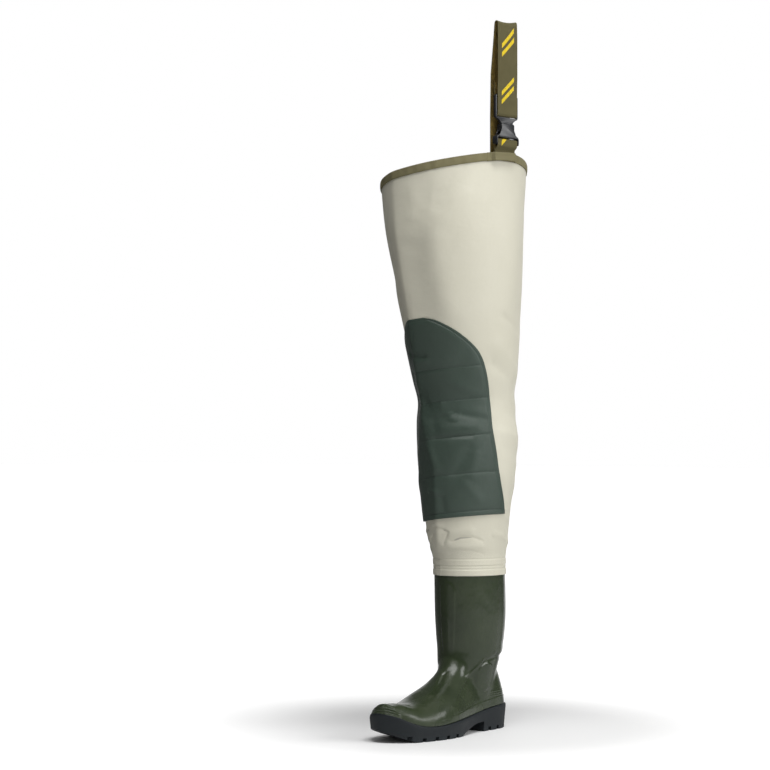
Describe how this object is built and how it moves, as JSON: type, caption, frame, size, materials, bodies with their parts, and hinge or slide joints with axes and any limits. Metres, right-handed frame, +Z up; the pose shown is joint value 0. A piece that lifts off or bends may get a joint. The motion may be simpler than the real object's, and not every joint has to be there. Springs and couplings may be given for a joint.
{
  "type": "hip wader",
  "caption": "Hip-length left wader: moulded rubber boot with cleated sole, loose coated-fabric leg, padded knee, bound collar and a webbing loop with a side-release buckle.",
  "frame": {"origin": "on the heel's flat tread, under the middle of the heel, at floor level", "axes": "+Z up along the leg; -Y from the heel towards the toe; +X towards the outer side of the left leg"},
  "size_m": [0.2422, 0.3366, 1.1718],
  "materials": {
    "sole_rubber": "matt moulded rubber",
    "insole_felt": "felt",
    "boot_rubber": "gloss moulded rubber",
    "coated_fabric": "semi-matt coating",
    "pad_fabric": "satin coating",
    "binding_tape": "woven tape",
    "webbing": "woven webbing",
    "buckle_plastic": "gloss moulded"
  },
  "bodies": {
    "root": {"outsole": "sole_rubber", "insole": "insole_felt", "boot_upper": "boot_rubber", "leg": "coated_fabric", "knee_pad": "pad_fabric", "collar_binding": "binding_tape", "strap": "webbing", "strap_tab": "webbing", "buckle_female": "buckle_plastic", "buckle_male": "buckle_plastic"}
  },
  "joints": []
}
